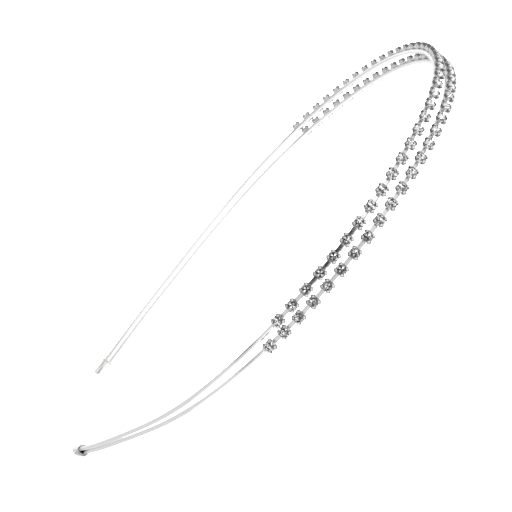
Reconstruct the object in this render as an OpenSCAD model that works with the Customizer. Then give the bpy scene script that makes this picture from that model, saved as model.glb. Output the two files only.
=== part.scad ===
// A thin headband of two round wires that meet at the tips and part towards the crown.
// Each wire carries a row of cut stones in four-claw cups joined by flat links.
// The band lies on its side: X is across it, Y runs from the tips to the crown, Z is up.

/* [Band] */
// Length of the band from the middle of the crown to the right tip
right_leg = 183; // [181:1:186]
// Length of the band from the middle of the crown to the left tip
left_leg = 189; // [187:1:192]
// Bend radius at the middle of the crown
crown_r = 54; // [52:1:57]
// Bend radius along both sides
side_r = 64; // [61:1:67]
// Bend radius where the sides run out into the legs
shoulder_r = 68; // [65:1:71]
// Bend radius near the tips
tip_bend_r = 120; // [100:5:150]
// Thickness of each wire
wire_d = 1.25; // [1.1:0.05:1.3]
// Distance between the middles of the two wires at the crown
crown_spread = 4.1; // [4:0.1:4.6]
// Distance from the crown at which the wires come together in the right leg
join_at = 180; // [178:1:184]
// Distance from the crown at which they come together in the left leg
left_join_at = 188; // [186:1:190]

/* [Stones] */
// Stones on the lower wire, the upper one has one less
stones = 40; // [38:1:41]
// Distance from one stone to the next
pitch = 4.6; // [4.5:0.05:4.7]
// Shift of the upper row along the band
row_shift = -1.05; // [-1.1:0.05:-0.95]
// Diameter of a stone
stone_d = 2.56; // [2.46:0.02:2.6]
// Diameter of a stone's table
table_d = 1.36; // [1.2:0.02:1.5]
// Height of a stone above its widest place
crown_h = 0.5; // [0.45:0.01:0.55]
// Depth of a stone below its widest place
pavilion_h = 0.95; // [0.9:0.01:1]

/* [Settings] */
// Thickness of a cup's floor under the stone's point
floor_t = 0.22; // [0.2:0.01:0.25]
// Thickness of a claw
claw_t = 0.14; // [0.12:0.01:0.15]
// Width of a claw
claw_w = 1.08; // [1:0.02:1.14]
// How far a claw's bend stands out past the stone's edge
claw_out = 0.16; // [0.12:0.02:0.2]
// Width of the flat link between two cups
link_w = 0.9; // [0.7:0.05:1]
// Thickness of the link
link_t = 0.24; // [0.2:0.02:0.3]
// Length of the cut link beyond the last cup
link_stub = 0.8; // [0.6:0.1:1]
// How far the cups of the right side are turned up round their wires
right_lean = 16; // [10:1:20]

/* [Tip caps] */
// Length of a cap
cap_len = 5.2; // [4.8:0.2:5.6]
// Outside height of a cap, across both wires
cap_h = 3.15; // [3.1:0.05:3.3]
// Outside width of a cap
cap_w = 2.3; // [2.2:0.05:2.5]
// Thickness of a cap's wall
cap_wall = 0.2; // [0.18:0.01:0.22]
// How far the round mouth stands out above the cap
rim = 0.15; // [0.1:0.05:0.2]

/* [Hidden] */
$fn = 32;
upper = 1;
lower = -1;

// Gaps between the pieces
seat_gap = 0.05;
stone_gap = 0.05;
link_gap = 0.12;
wire_gap = 0.1;

// Places along the band, from the middle of the crown, at which its bend changes
side_from = 40;
side_to = 80;
shoulder_at = 120;
straight_at = 150;
// Both ends of the band are straight from here on
straight_from = 176;
// The wires stop this far before the end of a cap
wire_inset = 1;
wire_sides = 10;
wire_rings = 80;
step = 1;

// Bend along the band, in the columns: distance from the crown, curvature there
BEND = [[0, 1 / crown_r], [side_from, 1 / side_r], [side_to, 1 / side_r],
        [shoulder_at, 1 / shoulder_r], [straight_at, 0], [straight_from, 1 / tip_bend_r]];

// The middle of the band, one point and heading for each step from the crown to the left tip
function bend(s) = s > straight_from ? 0 : lookup(s, BEND);
function turn(s) = bend(s + step / 2) * step * 180 / PI;
function advance(p, s) = let (a = p[2] - turn(s) / 2)
    [p[0] + step * cos(a), p[1] + step * sin(a), p[2] - turn(s)];
path = [for (i = 0, p = [0, 0, 0]; i <= left_leg / step; p = advance(p, i * step), i = i + 1) p];
function track(k) = [for (i = [0 : len(path) - 1]) [i * step, path[i][k]]];
track_x = track(0);
track_y = track(1);
track_a = track(2);
function side(s) = s < 0 ? -1 : 1;
function x_at(s) = side(s) * lookup(abs(s), track_x);
function y_at(s) = lookup(abs(s), track_y);
function heading(s) = side(s) * lookup(abs(s), track_a);

// Height of a wire's middle above or below the band's own middle
tip_half = (wire_d + wire_gap) / 2;
function spread(s) = let (join = s < 0 ? left_join_at : join_at, a = 180 * min(abs(s), join) / join)
    tip_half + (crown_spread / 2 - tip_half) * (1 + cos(a)) / 2;

// Share of the right side's lean that the cups have, in the columns: place along the band, share
LEAN = [[10, 0], [42, 1]];
function lean(s) = right_lean * lookup(s, LEAN);

// Heights above the wire, of the cup's floor, the stone's widest place and its table
cup_base = wire_d / 2 + seat_gap;
girdle_z = floor_t + 2 * stone_gap + pavilion_h;
table_z = girdle_z + crown_h;
stone_r = stone_d / 2;
table_r = table_d / 2;
claw_r = stone_r + stone_gap + claw_out + claw_t;

// Shares of the stone's size that give the cup's foot, its flare and the feet of the claws
foot_share = 0.7;
flare_share = 0.4;
claw_foot_share = 0.45;
foot_r = foot_share * stone_r;
link_root = 0.6 * stone_r;
link_lift = 0.02;
flare_z = flare_share * girdle_z;
claw_foot_z = claw_foot_share * girdle_z;

// How far the cup's wall and the step inside a claw end below the stone's widest place
wall_drop = 0.125;
step_drop = 0.2;
wall_top = girdle_z - wall_drop;
// Height over which a claw runs out from the cup to its bend
claw_flare = 0.3;
claw_angle = claw_w / claw_r * 180 / PI;
first_claw = 45;
// How far the corners of the lower claws stand below the middle of a row
row_half = claw_r * cos(first_claw - claw_angle / 2);
// Where a claw reaches its full reach, above the wire's middle
claw_wide_z = cup_base + claw_foot_z + claw_flare;
// A claw's tip ends half way up the stone's crown, raised by so many claw thicknesses
tip_lift = 1.5;
claw_tip_r = (stone_r + table_r) / 2;
claw_tip_z = girdle_z + crown_h / 2 + tip_lift * claw_t;

// The band rests on the lower row and on both caps, tilted and rolled to reach all three
tips = [[x_at(right_leg), y_at(right_leg)], [x_at(-left_leg), y_at(-left_leg)]];
row_drop = crown_spread / 2 + row_half;
rise = (row_drop - cap_h / 2 - rim) / (tips[0].x * tips[1].y - tips[1].x * tips[0].y);
rest_tilt = -atan(rise * (tips[0].x - tips[1].x));
rest_roll = atan(rise * (tips[1].y - tips[0].y));
function low(s) = spread(s) + row_half * cos(lean(s)) - claw_wide_z * sin(lean(s))
    - y_at(s) * sin(rest_tilt) + x_at(s) * sin(rest_roll);
floor_z = max([for (i = [0 : stones - 1]) low(lower_s(i))]);
crown_y = cup_base + table_z;
tip_y = y_at(left_leg) - cap_w / 2 * abs(cos(heading(left_leg)));
middle_y = (crown_y + tip_y) / 2;

// Round of a cap's closed end, and how far a cut goes past what it cuts
cap_edge = 0.5;
past = 1;

function lower_s(i) = (i - (stones - 1) / 2) * pitch;
function upper_s(i) = lower_s(i) + row_shift;

module at_rest() {
    translate([0, -middle_y, floor_z]) rotate([rest_tilt, rest_roll, 0]) children();
}

// Stands a piece on the band: its Z points outwards and its X runs along the band
module on_band(s, row) {
    translate([x_at(s), y_at(s), row * spread(s)])
        rotate([0, 0, heading(s)])
        rotate([lean(s) - 90, 0, 0])
        children();
}

function ring(s, row) = let (a = heading(s)) [for (k = [0 : wire_sides - 1])
    let (b = 360 * (k + 0.5) / wire_sides, out = wire_d / 2 * cos(b))
    [x_at(s) - out * sin(a), y_at(s) + out * cos(a), row * spread(s) + wire_d / 2 * sin(b)]];

// One round wire from tip to tip, swept along the band
module wire(row) {
    last = wire_rings - 1;
    start_s = wire_inset - left_leg;
    end_s = right_leg - wire_inset;
    places = [for (i = [0 : last]) start_s + (end_s - start_s) * i / last];
    points = [for (s = places) each ring(s, row)];
    points_n = len(points);
    walls = [for (i = [0 : last - 1], k = [0 : wire_sides - 1])
        let (n = (k + 1) % wire_sides, a = i * wire_sides, b = a + wire_sides)
        each [[a + k, b + n, a + n], [a + k, b + k, b + n]]];
    start = [for (k = [0 : wire_sides - 1]) k];
    end = [for (k = [0 : wire_sides - 1]) points_n - 1 - k];
    color("silver") at_rest() polyhedron(points, concat(walls, [start, end]), convexity = 10);
}

// The wall and floor of a cup, turned round its middle
module cup() {
    seat_r = stone_r * (wall_top - floor_t) / pavilion_h - stone_gap;
    rotate_extrude()
        polygon([[0, 0], [foot_r, 0], [stone_r, flare_z], [stone_r, wall_top],
                 [seat_r, wall_top], [0, floor_t]]);
}

// A broad claw that bulges out from the cup's wall and is bent over the stone's edge
module claw() {
    root_r = stone_r - claw_t;
    inside_r = claw_r - claw_t;
    step_z = girdle_z - step_drop;
    rotate([0, 0, -claw_angle / 2]) rotate_extrude(angle = claw_angle)
        polygon([[root_r, claw_foot_z], [claw_r, claw_foot_z + claw_flare],
                 [claw_r, girdle_z + claw_t / 2], [claw_tip_r, claw_tip_z],
                 [inside_r, girdle_z + stone_gap], [inside_r, step_z], [root_r, step_z]]);
}

// A flat link that starts inside the cup, just above its foot
module link(length) {
    translate([link_root, -link_w / 2, link_lift]) cube([length + stone_r - link_root, link_w, link_t]);
}

// A cup with its four claws and the link before and after it
module setting(before, after) {
    cup();
    for (a = [first_claw : 90 : 360]) rotate([0, 0, a]) claw();
    link(after);
    if (before > 0) mirror([1, 0, 0]) link(before);
}

module settings(row, count) {
    gap_len = pitch - 2 * stone_r - link_gap;
    color("lightgrey") at_rest() for (i = [0 : count - 1]) {
        s = row == upper ? upper_s(i) : lower_s(i);
        on_band(s, row) translate([0, 0, cup_base])
            setting(i == 0 ? link_stub : 0, i == count - 1 ? link_stub : gap_len);
    }
}

// A round cut stone: an eight-sided table, eight stars, eight kites and a pointed back
module stone() {
    table = [for (i = [0 : 7]) [table_r * cos(45 * i), table_r * sin(45 * i), table_z]];
    girdle = [for (i = [0 : 15]) [stone_r * cos(22.5 * i), stone_r * sin(22.5 * i), girdle_z]];
    point = [0, 0, girdle_z - pavilion_h];
    stars = [for (i = [0 : 7]) [i, (i + 1) % 8, 8 + 2 * i + 1]];
    kites = [for (i = [0 : 7]) each [[i, 8 + 2 * i, 8 + (2 * i + 15) % 16],
                                     [i, 8 + 2 * i + 1, 8 + 2 * i]]];
    back = [for (i = [0 : 15]) [8 + i, 8 + (i + 1) % 16, 24]];
    polyhedron(concat(table, girdle, [point]),
               concat([[for (i = [0 : 7]) 7 - i]], stars, kites, back));
}

module stone_row(row, count) {
    color("white") at_rest() for (i = [0 : count - 1])
        on_band(row == upper ? upper_s(i) : lower_s(i), row) translate([0, 0, cup_base]) stone();
}

// Half the side view of a rod with a rounded end
module half_rod(r, length, edge) {
    square([r - edge, length]);
    square([r, length - edge]);
    translate([r - edge, length - edge]) circle(edge);
}

// A rod of oval section: two round sides, so far from the middle, and what lies between them
module oval_rod(r, apart, length, edge) {
    for (k = [-1, 1]) translate([k * apart, 0, 0]) rotate_extrude() half_rod(r, length, edge);
    rotate([90, 0, 90]) linear_extrude(2 * apart, center = true) {
        half_rod(r, length, edge);
        mirror([1, 0, 0]) half_rod(r, length, edge);
    }
}

// A cap: an oval tube with a rounded end and a round mouth that stands out
module cap() {
    r = cap_w / 2;
    apart = cap_h / 2 - r;
    bore_len = cap_len - 2 * cap_wall;
    difference() {
        union() {
            oval_rod(r, apart, cap_len, cap_edge);
            cylinder(r = cap_h / 2 + rim, h = 2 * rim);
        }
        translate([0, 0, -past]) oval_rod(r - cap_wall, apart, bore_len + past, cap_edge - cap_wall);
        translate([0, 0, -past]) cylinder(r = (cap_h - cap_wall) / 2, h = past + rim);
    }
}

module tip_cap(end) {
    s = end > 0 ? right_leg : -left_leg;
    color("silver") at_rest()
        translate([x_at(s), y_at(s), 0])
        rotate([0, 0, heading(s)])
        rotate([0, end * 90, 0])
        translate([0, 0, -cap_len])
        cap();
}

module wire_upper() { wire(upper); }
module wire_lower() { wire(lower); }
module settings_upper() { settings(upper, stones - 1); }
module settings_lower() { settings(lower, stones); }
module stones_upper() { stone_row(upper, stones - 1); }
module stones_lower() { stone_row(lower, stones); }
module tip_cap_right() { tip_cap(1); }
module tip_cap_left() { tip_cap(-1); }

wire_upper();
wire_lower();
settings_upper();
settings_lower();
stones_upper();
stones_lower();
tip_cap_right();
tip_cap_left();
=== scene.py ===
import math
import random

import bmesh
import bpy
from mathutils import Matrix, Quaternion, Vector


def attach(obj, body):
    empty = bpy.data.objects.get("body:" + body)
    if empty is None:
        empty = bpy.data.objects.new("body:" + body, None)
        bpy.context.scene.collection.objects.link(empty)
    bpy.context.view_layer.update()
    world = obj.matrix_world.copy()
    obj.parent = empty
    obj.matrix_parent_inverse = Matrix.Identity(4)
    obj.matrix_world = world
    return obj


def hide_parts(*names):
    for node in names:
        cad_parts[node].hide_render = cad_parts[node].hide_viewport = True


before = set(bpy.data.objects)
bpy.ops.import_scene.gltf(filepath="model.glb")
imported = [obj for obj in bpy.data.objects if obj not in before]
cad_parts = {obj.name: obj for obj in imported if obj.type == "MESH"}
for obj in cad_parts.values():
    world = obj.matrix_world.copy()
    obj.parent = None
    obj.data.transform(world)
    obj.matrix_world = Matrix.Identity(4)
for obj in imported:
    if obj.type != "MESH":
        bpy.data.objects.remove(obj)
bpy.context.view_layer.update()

MM = 0.001
UPPER = 1
LOWER = -1

# The band's driving sizes, the same as the solids have
RIGHT_LEG = 183 * MM
LEFT_LEG = 189 * MM
CROWN_R = 54 * MM
SIDE_R = 64 * MM
SHOULDER_R = 68 * MM
TIP_BEND_R = 120 * MM
WIRE_D = 1.25 * MM
CROWN_SPREAD = 4.1 * MM
JOIN_AT = 180 * MM
LEFT_JOIN_AT = 188 * MM
STONES = 40
PITCH = 4.6 * MM
ROW_SHIFT = -1.05 * MM
STONE_D = 2.56 * MM
TABLE_D = 1.36 * MM
CROWN_H = 0.5 * MM
PAVILION_H = 0.95 * MM
FLOOR_T = 0.22 * MM
CLAW_T = 0.14 * MM
CLAW_W = 1.08 * MM
CLAW_OUT = 0.16 * MM
FIRST_CLAW = math.pi / 4
LINK_W = 0.9 * MM
LINK_T = 0.24 * MM
LINK_STUB = 0.8 * MM
LINK_LIFT = 0.02 * MM
CAP_LEN = 5.2 * MM
CAP_H = 3.15 * MM
CAP_W = 2.3 * MM
CAP_WALL = 0.2 * MM
RIM = 0.15 * MM
RIGHT_LEAN = math.radians(16)
SEAT_GAP = 0.05 * MM
STONE_GAP = 0.05 * MM
WIRE_GAP = 0.1 * MM
STRAIGHT_FROM = 176 * MM
WIRE_INSET = 1 * MM
# The claws start at this share of the girdle's height and are widest a little above
CLAW_FOOT = 0.45
CLAW_FLARE = 0.3 * MM

# Bend along the band, in the columns: distance from the crown, curvature there
BEND = [
    (0, 1 / CROWN_R),
    (40 * MM, 1 / SIDE_R),
    (80 * MM, 1 / SIDE_R),
    (120 * MM, 1 / SHOULDER_R),
    (150 * MM, 0),
    (STRAIGHT_FROM, 1 / TIP_BEND_R),
]
STEP = 1 * MM
# Lean of the cups round their wires, in the columns: distance from the crown, angle
LEAN = [(-LEFT_LEG, 0), (10 * MM, 0), (42 * MM, RIGHT_LEAN)]

# Heights above the wire's middle, and radii of the stone and the claws
CUP_BASE = WIRE_D / 2 + SEAT_GAP
GIRDLE_Z = FLOOR_T + 2 * STONE_GAP + PAVILION_H
TABLE_Z = GIRDLE_Z + CROWN_H
STONE_R = STONE_D / 2
TABLE_R = TABLE_D / 2
CLAW_R = STONE_R + STONE_GAP + CLAW_OUT + CLAW_T
CLAW_WIDE_Z = CUP_BASE + CLAW_FOOT * GIRDLE_Z + CLAW_FLARE
ROW_HALF = CLAW_R * math.cos(FIRST_CLAW - CLAW_W / CLAW_R / 2)


def lookup(x, table):
    """A value of a table of two columns, along straight lines between its rows."""
    for (x0, y0), (x1, y1) in zip(table, table[1:]):
        if x <= x1:
            return y0 + (y1 - y0) * (x - x0) / (x1 - x0)
    return table[-1][1]


def band_track():
    """Distance from the crown, place and heading for each step from the crown to the left tip."""
    x = y = heading = 0.0
    track = [(0.0, x, y, heading)]
    for i in range(round(LEFT_LEG / STEP)):
        s = i * STEP
        turn = 0 if s + STEP / 2 > STRAIGHT_FROM else lookup(s + STEP / 2, BEND) * STEP
        x += STEP * math.cos(heading - turn / 2)
        y += STEP * math.sin(heading - turn / 2)
        heading -= turn
        track.append((s + STEP, x, y, heading))
    return track


TRACK = band_track()


def along(s, column):
    """X, Y or heading of the band's middle at a distance from the crown, left of it if negative."""
    side = -1 if s < 0 and column != 2 else 1
    return side * lookup(abs(s), [(row[0], row[column]) for row in TRACK])


def spread(s):
    """Height of a wire's middle above or below the band's own middle."""
    tip_half = (WIRE_D + WIRE_GAP) / 2
    join_at = LEFT_JOIN_AT if s < 0 else JOIN_AT
    share = math.cos(math.pi * min(abs(s), join_at) / join_at)
    return tip_half + (CROWN_SPREAD / 2 - tip_half) * (1 + share) / 2


def on_band(s, row):
    """A place on a wire whose Z points out of the band, with the cups' lean, and whose X runs along it."""
    place = Matrix.Translation((along(s, 1), along(s, 2), row * spread(s)))
    turned = Matrix.Rotation(along(s, 3), 4, "Z")
    return place @ turned @ Matrix.Rotation(lookup(s, LEAN) - math.pi / 2, 4, "X")


def claw_low(lean):
    """How far a cup's lower claws reach below the middle of its wire."""
    return ROW_HALF * math.cos(lean) - CLAW_WIDE_Z * math.sin(lean)


def at_rest():
    """Lays the band on the floor, tilted and rolled a little, on its lower row and both caps."""
    right, left = ((along(s, 1), along(s, 2)) for s in (RIGHT_LEG, -LEFT_LEG))
    drop = CROWN_SPREAD / 2 + ROW_HALF
    rise = (drop - CAP_H / 2 - RIM) / (right[0] * left[1] - left[0] * right[1])
    tilt = -math.atan(rise * (right[0] - left[0]))
    roll = math.atan(rise * (left[1] - right[1]))
    lows = [
        spread(s) + claw_low(lookup(s, LEAN)) - along(s, 2) * math.sin(tilt) + along(s, 1) * math.sin(roll)
        for s in row_places(LOWER)
    ]
    tip_y = left[1] - CAP_W / 2 * abs(math.cos(along(LEFT_LEG, 3)))
    middle_y = (CUP_BASE + TABLE_Z + tip_y) / 2
    turned = Matrix.Rotation(roll, 4, "Y") @ Matrix.Rotation(tilt, 4, "X")
    return Matrix.Translation((0, -middle_y, max(lows))) @ turned


def row_places(row):
    """Distances from the crown of a row's stones; the upper row is shifted and has one less."""
    first = -(STONES - 1) / 2 * PITCH
    if row == LOWER:
        return [first + i * PITCH for i in range(STONES)]
    return [first + ROW_SHIFT + i * PITCH for i in range(STONES - 1)]


AT_REST = at_rest()


# Modelling

# A face whose normal has this share along an axis counts as facing it
FACING = 0.9
BEVEL_STEPS = 2


def leave_all():
    """Back in object mode with nothing selected."""
    if bpy.context.object and bpy.context.object.mode != "OBJECT":
        bpy.ops.object.mode_set(mode="OBJECT")
    bpy.ops.object.select_all(action="DESELECT")


def pick(piece):
    """Back in object mode with only this piece selected, and active."""
    leave_all()
    piece.select_set(True)
    bpy.context.view_layer.objects.active = piece


def begin(add, place=(0, 0, 0), **settings):
    """Adds a primitive, opens it in edit mode with all of it selected and moves it to a place."""
    leave_all()
    add(**settings)
    piece = bpy.context.object
    bpy.ops.object.mode_set(mode="EDIT")
    bpy.ops.mesh.select_all(action="SELECT")
    bpy.ops.transform.translate(value=tuple(place))
    return piece


def choose(piece, test):
    """Selects only the faces whose middle and normal pass a test."""
    bpy.ops.mesh.select_mode(type="FACE")
    bpy.ops.mesh.select_all(action="DESELECT")
    shape = bmesh.from_edit_mesh(piece.data)
    for face in shape.faces:
        face.select_set(bool(test(face.calc_center_median(), face.normal)))
    shape.select_flush_mode()
    bmesh.update_edit_mesh(piece.data)


def extrude(move):
    bpy.ops.mesh.extrude_region_move(TRANSFORM_OT_translate={"value": tuple(move)})


def swing(angle, axis, centre):
    """Turns what is selected; with no window the operator turns the other way."""
    bpy.ops.transform.rotate(value=-angle, orient_axis=axis, center_override=tuple(centre))


def scale(factors, centre):
    bpy.ops.transform.resize(value=tuple(factors), center_override=tuple(centre))


def slice_at(place, normal):
    """Cuts all of the open piece along a plane and keeps both sides."""
    bpy.ops.mesh.select_all(action="SELECT")
    bpy.ops.mesh.bisect(plane_co=tuple(place), plane_no=normal, threshold=1e-8)


def finish_modifier(piece, kind, **settings):
    """Adds a modifier and applies it."""
    pick(piece)
    made = piece.modifiers.new(kind.title(), kind)
    for name, value in settings.items():
        setattr(made, name, value)
    bpy.ops.object.modifier_apply(modifier=made.name)


def soften(piece, width, degrees):
    """Rounds the edges that are sharper than an angle."""
    limit = math.radians(degrees)
    finish_modifier(
        piece, "BEVEL", width=width, segments=BEVEL_STEPS, limit_method="ANGLE", angle_limit=limit
    )


def smooth(piece, degrees):
    """Shades a piece smooth, apart from the edges that are sharper than an angle."""
    pick(piece)
    bpy.ops.object.shade_smooth_by_angle(angle=math.radians(degrees))


def outward(piece):
    """Turns all faces of a closed piece outwards."""
    pick(piece)
    bpy.ops.object.mode_set(mode="EDIT")
    bpy.ops.mesh.select_all(action="SELECT")
    bpy.ops.mesh.normals_make_consistent(inside=False)
    bpy.ops.object.mode_set(mode="OBJECT")


def join(name, pieces):
    """Joins pieces, puts their place in the mesh and names the result."""
    leave_all()
    for piece in pieces:
        piece.select_set(True)
    bpy.context.view_layer.objects.active = pieces[0]
    if len(pieces) > 1:
        bpy.ops.object.join()
    bpy.ops.object.transform_apply(location=True, rotation=True, scale=True)
    made = bpy.context.object
    made.name = made.data.name = name
    return made


def copy_to(piece, place):
    """A copy with its own mesh at a place on the band."""
    made = piece.copy()
    made.data = piece.data.copy()
    bpy.context.collection.objects.link(made)
    made.matrix_world = AT_REST @ place
    return made


def drop(*pieces):
    for piece in pieces:
        bpy.data.objects.remove(piece)


# Wires

WIRE_SIDES = 16
WIRE_STEP = 2 * MM
WIRE_SMOOTH = 60


def wire(name, row):
    """One round wire, extruded along the band from the left tip to the right one."""
    start = WIRE_INSET - LEFT_LEG
    end = RIGHT_LEG - WIRE_INSET
    stops = round((end - start) / WIRE_STEP)
    stations = [start + (end - start) * i / stops for i in range(stops + 1)]
    points = [on_band(s, row).translation for s in stations]
    headings = [along(s, 3) for s in stations]
    piece = begin(
        bpy.ops.mesh.primitive_circle_add,
        vertices=WIRE_SIDES,
        radius=WIRE_D / 2,
        fill_type="NGON",
    )
    swing(math.pi / 2, "Y", (0, 0, 0))
    swing(headings[0], "Z", (0, 0, 0))
    bpy.ops.transform.translate(value=tuple(points[0]))
    for before, after, old, new in zip(points, points[1:], headings, headings[1:]):
        extrude(after - before)
        swing(new - old, "Z", after)
    outward(piece)
    piece.matrix_world = AT_REST
    made = join(name, [piece])
    smooth(made, WIRE_SMOOTH)
    return made


# Stones

STONE_SIDES = 32
GIRDLE_UP = 0.05 * MM
GIRDLE_DOWN = 0.22 * MM
STAR_SLOPE = math.radians(27)
# The back's lower facets end at this share of the radius, and are this much steeper than their ridges
RIDGE_SHARE = 0.3
LOW_STEEPER = 1.04
FACETS = 8
# Faces flatter than this to the axis belong to the crown or the back, the others to the girdle
GIRDLE_SLOPE = 0.1
# How much a stone sits askew, in degrees
ASKEW = 1.2


def cut(angle, slope, r, z, down):
    """Grinds a facet: its slope from the flat, through a point at a radius and height."""
    tilt = -1 if down else 1
    across = Vector((math.cos(angle), math.sin(angle), 0))
    normal = across * math.sin(slope) + Vector((0, 0, tilt * math.cos(slope)))
    point = across * r + Vector((0, 0, z))
    bpy.ops.mesh.select_all(action="SELECT")
    bpy.ops.mesh.bisect(plane_co=point, plane_no=normal, use_fill=True, clear_outer=True, threshold=1e-8)


def cut_stone():
    """A round stone ground from a blank: table, 8 mains, 8 stars, 16 halves and a faceted back."""
    top = GIRDLE_Z + GIRDLE_UP
    under = GIRDLE_Z - GIRDLE_DOWN
    height = CROWN_H + PAVILION_H
    middle = GIRDLE_Z + (CROWN_H - PAVILION_H) / 2
    piece = begin(
        bpy.ops.mesh.primitive_cylinder_add,
        vertices=STONE_SIDES,
        radius=STONE_R,
        depth=height,
        place=(0, 0, middle),
    )
    eighth = 2 * math.pi / FACETS
    crown = TABLE_Z - top
    back = under - (GIRDLE_Z - PAVILION_H)
    main_slope = math.atan(crown / (STONE_R - TABLE_R))
    half_r = STONE_R * math.cos(eighth / 4)
    table_edge = TABLE_R * math.cos(eighth / 2)
    star_r = (crown + math.tan(STAR_SLOPE) * table_edge - math.tan(main_slope) * STONE_R) / (
        math.tan(STAR_SLOPE) - math.tan(main_slope) * math.cos(eighth / 2)
    )
    star_z = crown - math.tan(STAR_SLOPE) * (star_r - table_edge)
    half_slope = math.atan(star_z / (half_r - star_r * math.cos(eighth / 4)))
    back_slope = math.atan(back / STONE_R)
    ridge_r = RIDGE_SHARE * STONE_R
    ridge_z = back * (1 - RIDGE_SHARE)
    low_slope = math.atan(ridge_z / (half_r - ridge_r * math.cos(eighth / 4)) * LOW_STEEPER)
    for k in range(FACETS):
        angle = k * eighth
        cut(angle, main_slope, STONE_R, top, False)
        cut(angle + eighth / 2, STAR_SLOPE, table_edge, TABLE_Z, False)
        cut(angle, back_slope, STONE_R, under, True)
        for side in (-1, 1):
            cut(angle + side * eighth / 4, half_slope, half_r, top, False)
            cut(angle + side * eighth / 4, low_slope, half_r, under, True)
    leave_all()
    return piece


# Settings

CUP_SIDES = 32
FOOT_R = 0.7 * STONE_R
FLARE_Z = 0.4 * GIRDLE_Z
WALL_TOP = GIRDLE_Z - 0.25 * MM
CUP_WALL = 0.12 * MM
SEAT_SHARE = 0.25
CUP_SMOOTH = 38
# The lower links are turned a little and the upper ones sit high on their wire
LINK_TURN = math.radians(-3)
LINK_UP = 0.12 * MM
LINK_ROOT = 0.8 * FOOT_R
SOLDER_R = 0.78 * FOOT_R
SOLDER_TOP = 0.16 * MM
SOLDER_WAIST = -0.04 * MM
SOLDER_LOW = -0.2 * MM
CLAW_ARCH = 0.12 * MM
# The claw's bends, in the columns: place past the stone's edge and height in mm, lean inwards in
# degrees, share of its width
CLAW_BENDS = [
    (0.04, 0.72, -45, 0.8),
    (0.15, 0.86, -35, 0.92),
    (0.22, 1.06, -8, 1),
    (0.20, 1.27, 14, 1),
    (0.12, 1.42, 42, 0.96),
    (0.00, 1.52, 58, 0.86),
    (-0.14, 1.59, 66, 0.8),
    (-0.25, 1.63, 68, 0.6),
]


def cup():
    """The round cup: narrow foot, flared wall and a hollow seat for the stone."""
    piece = begin(
        bpy.ops.mesh.primitive_cylinder_add,
        vertices=CUP_SIDES,
        radius=STONE_R,
        depth=WALL_TOP,
        place=(0, 0, WALL_TOP / 2),
    )
    slice_at((0, 0, FLARE_Z), (0, 0, 1))
    choose(piece, lambda c, n: n.z < -FACING)
    share = FOOT_R / STONE_R
    scale((share, share, 1), (0, 0, 0))
    choose(piece, lambda c, n: n.z > FACING)
    bpy.ops.mesh.inset(thickness=CUP_WALL)
    extrude((0, 0, -(WALL_TOP - FLOOR_T)))
    scale((SEAT_SHARE, SEAT_SHARE, 1), (0, 0, FLOOR_T))
    leave_all()
    soften(piece, 0.045 * MM, 25)
    return piece


def claw(angle):
    """A broad arched claw that bulges out from the cup's wall and is bent over the stone's edge."""
    foot = Vector((STONE_R - CLAW_T / 2, 0, CLAW_FOOT * GIRDLE_Z))
    piece = begin(bpy.ops.mesh.primitive_cube_add, size=1)
    width = CLAW_BENDS[0][3]
    scale((CLAW_T, width * CLAW_W, CLAW_T), (0, 0, 0))
    sixth = width * CLAW_W / 6
    for y in (-sixth, sixth):
        slice_at((0, y, 0), (0, 1, 0))
    choose(piece, lambda c, n: abs(c.y) < sixth)
    bpy.ops.transform.translate(value=(CLAW_ARCH, 0, 0))
    bpy.ops.mesh.select_all(action="SELECT")
    bpy.ops.transform.translate(value=tuple(foot))
    choose(piece, lambda c, n: n.z > FACING)
    centre = foot
    lean = 0
    for out, up, degrees, share in CLAW_BENDS:
        spot = Vector((STONE_R + out * MM, 0, up * MM))
        extrude(spot - centre)
        centre = spot
        swing(math.radians(lean - degrees), "Y", centre)
        scale((1, share / width, 1), centre)
        lean, width = degrees, share
    leave_all()
    soften(piece, 0.04 * MM, 50)
    piece.rotation_euler.z = angle
    bpy.ops.object.transform_apply(location=True, rotation=True, scale=True)
    return piece


def solder():
    """The solder between a cup's foot and the round of the wire."""
    piece = begin(
        bpy.ops.mesh.primitive_cylinder_add,
        vertices=16,
        radius=SOLDER_R,
        depth=SOLDER_TOP - SOLDER_WAIST,
        place=(0, 0, (SOLDER_TOP + SOLDER_WAIST) / 2),
    )
    choose(piece, lambda c, n: n.z < -FACING)
    extrude((0, 0, SOLDER_LOW - SOLDER_WAIST))
    scale((1.12, 0.8, 1), (0, 0, SOLDER_LOW))
    leave_all()
    soften(piece, 0.04 * MM, 40)
    return piece


def bar(start, end):
    """A flat link with softened edges, from one place along X to another."""
    length = end - start
    piece = begin(bpy.ops.mesh.primitive_cube_add, size=1)
    scale((length, LINK_W, LINK_T), (0, 0, 0))
    bpy.ops.transform.translate(value=((start + end) / 2, 0, LINK_LIFT + LINK_T / 2))
    leave_all()
    soften(piece, 0.05 * MM, 40)
    return piece


def setting():
    """A cup with four claws and its solder, fused into one."""
    piece = cup()
    for tool in [claw(FIRST_CLAW + k * math.pi / 2) for k in range(4)] + [solder()]:
        finish_modifier(piece, "BOOLEAN", object=tool, operation="UNION", solver="EXACT")
        drop(tool)
    # Paints shade into the setting's colour: a mask on the claws' edges and inside the cup
    mark_painted_shade(piece)
    return piece


# Painted shade: bands either side of the stone's edge, and where on a claw the painted shade starts and how
# fast it grows
WALL_BAND = 0.02 * MM
SEAT_BAND = 0.05 * MM
BULGE_FROM = 0.12 * MM
BULGE_SPAN = 0.15 * MM
BULGE_MARK = 0.8
EDGE_FROM = 0.5
EDGE_SPAN = 0.4
WALL_MARK = 0.2


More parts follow.
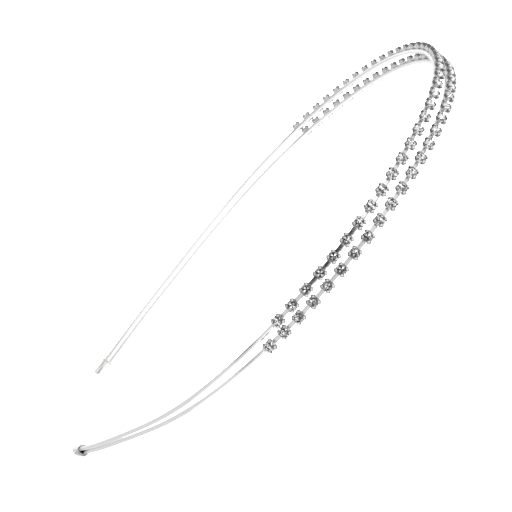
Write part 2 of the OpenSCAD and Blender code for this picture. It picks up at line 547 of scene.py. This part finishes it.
def mark_painted_shade(piece):
    """Marks painted shade on the edges of the claws and the inside of the cup: a mask that darkens the
    metal's colour there in place of shade and dark reflections.
    """
    shares = [(up * MM, share) for _, up, _, share in CLAW_BENDS]
    shade_marks = piece.data.attributes.new("painted_shade_mask", "FLOAT", "POINT")
    for point, mark in zip(piece.data.vertices, shade_marks.data):
        x, y, z = point.co
        r = math.hypot(x, y)
        around = math.atan2(y, x) % (math.pi / 2) - FIRST_CLAW
        aside = abs(r * math.sin(around)) / (lookup(z, shares) * CLAW_W / 2)
        # Painted shade on the claws: darker towards their side edges and where they bulge out past the
        # stone
        if r > STONE_R + WALL_BAND or z > GIRDLE_Z:
            bulge = (r - STONE_R - BULGE_FROM) / BULGE_SPAN
            mark.value = min(max((aside - EDGE_FROM) / EDGE_SPAN, BULGE_MARK * bulge, 0), 1)
        # Painted shade on the cup's wall at the stone's edge, and full painted shade in the seat under the
        # stone
        elif r > STONE_R - WALL_BAND:
            mark.value = WALL_MARK
        else:
            mark.value = 1 if z > FLOOR_T / 2 and r < STONE_R - SEAT_BAND else 0


def chain(name, row, template):
    """A row of settings with the flat links between them and a cut link at each end."""
    places = row_places(row)
    link_end = PITCH / 2 - LINK_ROOT
    link = bar(-link_end, link_end)
    stub = bar(LINK_ROOT, STONE_R + LINK_STUB)
    shift = Matrix.Rotation(LINK_TURN, 4, "X") if row == LOWER else Matrix.Translation((0, -LINK_UP, 0))
    seat = Matrix.Translation((0, 0, CUP_BASE))
    parts = [copy_to(template, on_band(s, row) @ seat) for s in places]
    parts += [copy_to(link, on_band(s + PITCH / 2, row) @ seat @ shift) for s in places[:-1]]
    parts.append(copy_to(stub, on_band(places[-1], row) @ seat))
    parts.append(copy_to(stub, on_band(places[0], row) @ Matrix.Rotation(math.pi, 4, "Z") @ seat))
    drop(link, stub)
    made = join(name, parts)
    smooth(made, CUP_SMOOTH)
    finish_modifier(made, "WEIGHTED_NORMAL", keep_sharp=True)
    return made


def stone_row(name, row, template, chance):
    """A row of stones, each turned and tipped a little in its cup as real ones are."""
    seat = Matrix.Translation((0, 0, CUP_BASE))
    centre = Matrix.Translation((0, 0, GIRDLE_Z))
    parts = []
    for s in row_places(row):
        turn = Matrix.Rotation(chance.uniform(0, math.pi / FACETS * 2), 4, "Z")
        tip = Matrix.Rotation(math.radians(chance.gauss(0, ASKEW)), 4, "X")
        tip @= Matrix.Rotation(math.radians(chance.gauss(0, ASKEW)), 4, "Y")
        parts.append(copy_to(template, on_band(s, row) @ seat @ centre @ tip @ centre.inverted() @ turn))
    return join(name, parts)


# Caps

CAP_SIDES = 40
CAP_SMOOTH = 40
END_STEPS = 6
CAP_EDGE = 0.5 * MM
LIP = 0.07 * MM
MOUTH_LEN = 0.32 * MM
FLARE_LEN = 0.45 * MM
# The mouth's width where it ends, as a share of its own
MOUTH_TAPER = 0.8


def cap_stations():
    """Height and both half widths of a cap, from its closed end down to the mouth and back up inside."""
    high, wide = CAP_H / 2, CAP_W / 2
    mouth = high + RIM
    hole = high - CAP_WALL / 2
    stations = []
    for k in range(END_STEPS + 1):
        bend = math.radians(90 - 90 / END_STEPS * k)
        inset = CAP_EDGE * (1 - math.cos(bend))
        stations.append((CAP_LEN - CAP_EDGE * (1 - math.sin(bend)), high - inset, wide - inset))
    stations += [
        (MOUTH_LEN + FLARE_LEN, high, wide),
        (MOUTH_LEN + FLARE_LEN / 2, high + 0.1 * RIM, (2 * wide + mouth) / 3),
        (MOUTH_LEN, mouth - LIP, mouth - 2 * LIP),
        (MOUTH_LEN - LIP, mouth, mouth),
        (LIP, mouth, mouth),
        (LIP / 3, mouth - LIP / 3, mouth - LIP / 3),
        (0, mouth - LIP, mouth - LIP),
        (0, hole + LIP, hole + LIP),
        (LIP, hole, hole),
        (MOUTH_LEN, hole, MOUTH_TAPER * hole),
        (MOUTH_LEN + LIP, high - CAP_WALL, WIRE_D / 2 + CAP_WALL),
        (CAP_LEN - 2 * CAP_WALL, high - CAP_WALL, WIRE_D / 2 + CAP_WALL),
    ]
    return stations


def cap(name, end, metals):
    """An oval tube with a rounded end and a round rolled mouth, over the ends of both wires."""
    stations = cap_stations()
    piece = begin(
        bpy.ops.mesh.primitive_circle_add,
        place=(0, 0, stations[0][0]),
        vertices=CAP_SIDES,
        radius=1 * MM,
        fill_type="NGON",
    )
    scale((stations[0][1] / MM, stations[0][2] / MM, 1), (0, 0, 0))
    for (z0, a0, b0), (z1, a1, b1) in zip(stations, stations[1:]):
        extrude((0, 0, z1 - z0))
        scale((a1 / a0, b1 / b0, 1), (0, 0, 0))
    outward(piece)
    for metal in metals:
        piece.data.materials.append(metal)
    for face in piece.data.polygons:
        face.material_index = 1 if face.center.z < MOUTH_LEN + FLARE_LEN / 2 else 0
    s = RIGHT_LEG if end > 0 else -LEFT_LEG
    tip = Matrix.Translation((along(s, 1), along(s, 2), 0)) @ Matrix.Rotation(along(s, 3), 4, "Z")
    turned = Matrix.Rotation(end * math.pi / 2, 4, "Y") @ Matrix.Translation((0, 0, -CAP_LEN))
    piece.matrix_world = AT_REST @ tip @ turned
    made = join(name, [piece])
    smooth(made, CAP_SMOOTH)
    return made


# Materials

class Field:
    """A number that changes over a surface, which sums and products can be written with."""

    def __init__(self, shader, socket):
        self.shader = shader
        self.socket = socket

    def _math(self, operation, first, second):
        return self.shader.node("ShaderNodeMath", {"operation": operation}, {0: first, 1: second})

    def __add__(self, other):
        return self._math("ADD", self, other)

    def __radd__(self, other):
        return self._math("ADD", other, self)

    def __sub__(self, other):
        return self._math("SUBTRACT", self, other)

    def __rsub__(self, other):
        return self._math("SUBTRACT", other, self)

    def __mul__(self, other):
        return self._math("MULTIPLY", self, other)

    def __rmul__(self, other):
        return self._math("MULTIPLY", other, self)


class Shader:
    """One material: a Principled shader and the nodes that feed it."""

    def __init__(self, name, **constants):
        self.material = bpy.data.materials.new(name)
        self.material.use_nodes = True
        self.tree = self.material.node_tree
        self.main = self.tree.nodes["Principled BSDF"]
        for socket, value in constants.items():
            self.main.inputs[socket.replace("_", " ")].default_value = value

    def node(self, kind, settings, inputs, output=0):
        """Adds a node; a ramp's stops are set first, then its sockets take values or links."""
        made = self.tree.nodes.new(kind)
        for name, value in settings.items():
            if name == "stops":
                for i, (place, colour) in enumerate(value):
                    stop = made.color_ramp.elements[i] if i < 2 else made.color_ramp.elements.new(place)
                    stop.position = place
                    stop.color = colour
            else:
                setattr(made, name, value)
        for socket, value in inputs.items():
            if isinstance(value, Field):
                self.tree.links.new(value.socket, made.inputs[socket])
            else:
                made.inputs[socket].default_value = value
        return Field(self, made.outputs[output])

    def feed(self, socket, field):
        self.tree.links.new(field.socket, self.main.inputs[socket])

    def place(self):
        return self.node("ShaderNodeTexCoord", {}, {}, "Object")

    def noise(self, size, detail=2):
        """Noise whose spots are about so many metres across."""
        inputs = {"Vector": self.place(), "Scale": 1 / size, "Detail": detail}
        return self.node("ShaderNodeTexNoise", {}, inputs, "Fac")

    def blend(self, field, first, second):
        """A colour between two, by a field."""
        settings = {"data_type": "RGBA", "blend_type": "MIX"}
        return self.node("ShaderNodeMix", settings, {0: field, 6: (*first, 1), 7: (*second, 1)}, 2)

    def greys(self, field, shades):
        """A grey that changes with a field, by stops of a place and a value."""
        stops = [(place, (value, value, value, 1)) for place, value in shades]
        return self.node("ShaderNodeValToRGB", {"stops": stops}, {"Fac": field})

    def bump(self, height, depth):
        inputs = {"Height": height, "Distance": depth, "Strength": 1.0}
        self.feed("Normal", self.node("ShaderNodeBump", {}, inputs, "Normal"))


def polished_wire():
    metal = Shader("polished_wire", Metallic=1.0)
    smears = metal.noise(3 * MM)
    grain = metal.noise(0.12 * MM)
    metal.feed("Base Color", metal.blend(smears, (0.90, 0.90, 0.905), (0.95, 0.95, 0.95)))
    metal.feed("Roughness", 0.05 + 0.08 * smears)
    metal.bump(grain, 0.0012 * MM)
    return metal.material


def plated_setting():
    metal = Shader("plated_setting", Metallic=1.0)
    smears = metal.noise(1.2 * MM)
    grain = metal.noise(0.08 * MM)
    # Painted shade: the mask darkens the plating's colour on the claws' edges and inside the cup, with the
    # random smears mixed in
    painted_shade_mask = metal.node("ShaderNodeAttribute", {"attribute_name": "painted_shade_mask"}, {}, "Fac")
    painted_shade = painted_shade_mask + 0.3 * smears - 0.15
    metal.feed("Base Color", metal.greys(painted_shade, [(0.0, 0.72), (0.5, 0.60), (0.95, 0.20)]))
    metal.feed("Roughness", 0.08 + 0.14 * smears)
    metal.bump(grain, 0.002 * MM)
    return metal.material


def cap_metal():
    metal = Shader("cap_metal", Metallic=1.0)
    smears = metal.noise(1.8 * MM)
    grain = metal.noise(0.1 * MM)
    metal.feed("Base Color", metal.blend(smears, (0.88, 0.87, 0.85), (0.94, 0.935, 0.92)))
    metal.feed("Roughness", 0.12 + 0.14 * smears)
    metal.bump(grain, 0.003 * MM)
    return metal.material


def cap_mouth():
    """The same metal, left satin inside the mouth and on its rim."""
    metal = Shader("cap_mouth", Metallic=1.0)
    smears = metal.noise(0.6 * MM)
    metal.feed("Base Color", metal.blend(smears, (0.74, 0.73, 0.72), (0.88, 0.87, 0.86)))
    metal.feed("Roughness", 0.42 + 0.16 * smears)
    return metal.material


def clear_stone():
    glass = Shader("clear_stone", Transmission_Weight=1.0, IOR=1.56)
    haze = glass.noise(0.5 * MM)
    glass.feed("Base Color", glass.blend(haze, (0.97, 0.98, 0.99), (1.0, 1.0, 1.0)))
    glass.feed("Roughness", 0.02 * haze)
    return glass.material


def foil():
    """The bright foil on the back of a stone."""
    back = Shader("stone_foil", Metallic=1.0)
    mottle = back.noise(0.6 * MM)
    back.feed("Base Color", back.blend(mottle, (0.84, 0.85, 0.86), (0.93, 0.93, 0.94)))
    back.feed("Roughness", 0.02 + 0.05 * mottle)
    return back.material


def girdle_foil():
    """The same foil where it reaches round the stone's edge, and is dull."""
    edge = Shader("stone_edge", Metallic=1.0)
    mottle = edge.noise(0.4 * MM)
    edge.feed("Base Color", edge.blend(mottle, (0.80, 0.80, 0.80), (0.92, 0.92, 0.92)))
    edge.feed("Roughness", 0.3 + 0.2 * mottle)
    return edge.material


def dress(piece, node_names, materials):
    """Gives a piece its materials and its body, and hides the solids that it stands for."""
    for material in materials:
        piece.data.materials.append(material)
    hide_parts(*node_names)
    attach(piece, "root")


# The camera, at the angle of the photograph

TARGET = Vector((7.155, 4.412, 3.4)) * MM
CAMERA_FAR = 351.18 * MM
CAMERA_ROUND = math.radians(25.033)
CAMERA_UP = math.radians(14.926)
CAMERA_ROLL = math.radians(-49.462)
LENS = 94.33


def camera():
    leave_all()
    flat = math.cos(CAMERA_UP)
    away = Vector((flat * math.cos(CAMERA_ROUND), flat * math.sin(CAMERA_ROUND), math.sin(CAMERA_UP)))
    turn = (-away).to_track_quat("-Z", "Y") @ Quaternion((0, 0, 1), CAMERA_ROLL)
    bpy.ops.object.camera_add(location=TARGET + away * CAMERA_FAR, rotation=turn.to_euler())
    made = bpy.context.object
    made.data.lens = LENS
    made.data.clip_start = 10 * MM
    bpy.context.scene.camera = made


# The studio

FLOOR_SIZE = 60.0
AIR_LIGHT = 5.5
WALL_SIDES = 144
WALL_FAR = 1.0
DOME_SIDES = 64
DOME_FAR = 2.0
# Walls round the table, in the columns: name, azimuths from and to, elevations from and to, light, distance
WALLS = [
    ("dark_skirting", -30, -17.5, 0, 9, 0.05, WALL_FAR),
    ("pale_skirting", -17.5, 125, 0, 9, 0.95, WALL_FAR),
    ("wall_front", -25, 125, 9, 50, 0.86, WALL_FAR),
    ("wall_side", -125, -25, 0, 50, 0.74, WALL_FAR),
    ("dark_above", -150, -105, 46, 60, 0.08, 0.9),
    ("wall_back_left", 125, 179.9, 0, 60, 1.0, WALL_FAR),
    ("wall_back_right", -179.9, -125, 0, 60, 1.0, WALL_FAR),
    ("dark_camera", 14, 49, 11, 24, 0.01, 0.9),
    ("bright_camera", 53, 80, 9, 30, 1.4, 0.9),
]
# The tube inside the band and its brim on the floor
TUBE_MIDDLE = Vector((0, 8, 0.05)) * MM
TUBE_R = 30 * MM
BRIM_R = 50 * MM
TUBE_H = 40 * MM


def studio():
    leave_all()
    bpy.ops.mesh.primitive_plane_add(size=FLOOR_SIZE)
    floor = bpy.context.object
    floor.name = "studio_floor"
    paper = Shader("studio_paper", Roughness=0.9, Base_Color=(0.93, 0.93, 0.93, 1))
    floor.data.materials.append(paper.material)
    floor.visible_glossy = False
    floor.visible_transmission = False
    world = bpy.data.worlds.new("studio_air")
    bpy.context.scene.world = world
    world.use_nodes = True
    air = world.node_tree.nodes["Background"]
    air.inputs["Color"].default_value = (1, 1, 1, 1)
    air.inputs["Strength"].default_value = AIR_LIGHT
    bpy.context.scene.view_settings.view_transform = "Standard"


def hidden_card(made, rays):
    """A stage piece that only the band's mirrors, or only rays that leave the stones, can see."""
    made.visible_camera = False
    made.visible_diffuse = False
    made.visible_shadow = False
    made.visible_glossy = rays == "mirrored"
    made.visible_transmission = rays == "refracted"


def plain_light(name, light=0.0):
    """A surface that only shines, with the same grey all over."""
    return Shader(
        name,
        Base_Color=(0, 0, 0, 1),
        Emission_Color=(light, light, light, 1),
        Emission_Strength=1.0,
        Specular_IOR_Level=0.0,
    )


def floor_card(name, size, corner, light):
    """A square on the floor, from a corner towards +X and -Y, seen only in mirrors."""
    piece = begin(bpy.ops.mesh.primitive_plane_add, size=size, place=corner + Vector((size, -size, 0)) / 2)
    leave_all()
    made = join(name, [piece])
    made.data.materials.append(plain_light(name, light).material)
    hidden_card(made, "mirrored")


def wall(name, start, stop, low, high, light, far):
    """A plain wall round the table, between two azimuths and two elevations, seen only in mirrors."""
    bottom, top = (far * math.tan(math.radians(angle)) for angle in (low, high))
    piece = begin(
        bpy.ops.mesh.primitive_cylinder_add,
        place=(TARGET.x, TARGET.y, (bottom + top) / 2),
        vertices=WALL_SIDES,
        radius=far,
        depth=top - bottom,
        end_fill_type="NOTHING",
    )

    def outside(c, n):
        return not start <= math.degrees(math.atan2(c.y - TARGET.y, c.x - TARGET.x)) <= stop

    choose(piece, outside)
    bpy.ops.mesh.delete(type="FACE")
    leave_all()
    made = join(name, [piece])
    made.data.materials.append(plain_light(name, light).material)
    hidden_card(made, "mirrored")


def bright_inside(light):
    """A pale tube with a brim, inside the band, that its inner side mirrors."""
    piece = begin(
        bpy.ops.mesh.primitive_circle_add,
        place=TUBE_MIDDLE,
        vertices=WALL_SIDES // 2,
        radius=BRIM_R,
        fill_type="NGON",
    )
    bpy.ops.mesh.inset(thickness=BRIM_R - TUBE_R)
    extrude((0, 0, TUBE_H))
    choose(piece, lambda c, n: c.z > 0.9 * TUBE_H)
    bpy.ops.mesh.delete(type="FACE")
    leave_all()
    made = join("bright_inside", [piece])
    made.data.materials.append(plain_light("bright_inside", light).material)
    hidden_card(made, "mirrored")


def dome(name, patch, shades, rays):
    """A sphere round the table, with patches of several shades, seen only in the band."""
    piece = begin(
        bpy.ops.mesh.primitive_uv_sphere_add,
        place=TARGET,
        segments=DOME_SIDES,
        ring_count=DOME_SIDES // 2,
        radius=DOME_FAR,
    )
    leave_all()
    made = join(name, [piece])
    paint = plain_light(name)
    spots = paint.noise(patch * DOME_FAR, 1)
    paint.feed("Emission Color", paint.greys(spots, shades))
    made.data.materials.append(paint.material)
    hidden_card(made, rays)


camera()
studio()
floor_card("mirrored_floor", FLOOR_SIZE, Vector((-1, 1, 0)) * FLOOR_SIZE / 2, 1.1)
floor_card("grey_floor", 0.6, Vector((0, -15, 0.008)) * MM, 0.78)
for row in WALLS:
    wall(*row)
bright_inside(0.98)
dome("mirrored_dome", 0.5, [(0.40, 0.05), (0.44, 0.95)], "mirrored")
dome("refracted_dome", 0.16, [(0.41, 0.1), (0.43, 1.0), (0.54, 1.05), (0.56, 1.8)], "refracted")

chance = random.Random(11)
wire_metal = polished_wire()
cup_metal = plated_setting()
stone_finishes = [clear_stone(), foil(), girdle_foil()]
cap_finishes = [cap_metal(), cap_mouth()]

setting_template = setting()
stone_template = cut_stone()
for finish in stone_finishes:
    stone_template.data.materials.append(finish)
for face in stone_template.data.polygons:
    girdle = 0 if face.normal.z > GIRDLE_SLOPE else 2
    face.material_index = 1 if face.normal.z < -GIRDLE_SLOPE else girdle
for row, word in ((UPPER, "upper"), (LOWER, "lower")):
    dress(wire("wire_" + word + "_round", row), ["wire_" + word], [wire_metal])
    cups = chain("cup_chain_" + word, row, setting_template)
    dress(cups, ["settings_" + word], [cup_metal])
    stones = stone_row("stone_row_" + word, row, stone_template, chance)
    dress(stones, ["stones_" + word], [])
drop(setting_template, stone_template)
for end, word in ((1, "right"), (-1, "left")):
    dress(cap("tip_cap_" + word + "_tube", end, cap_finishes), ["tip_cap_" + word], [])
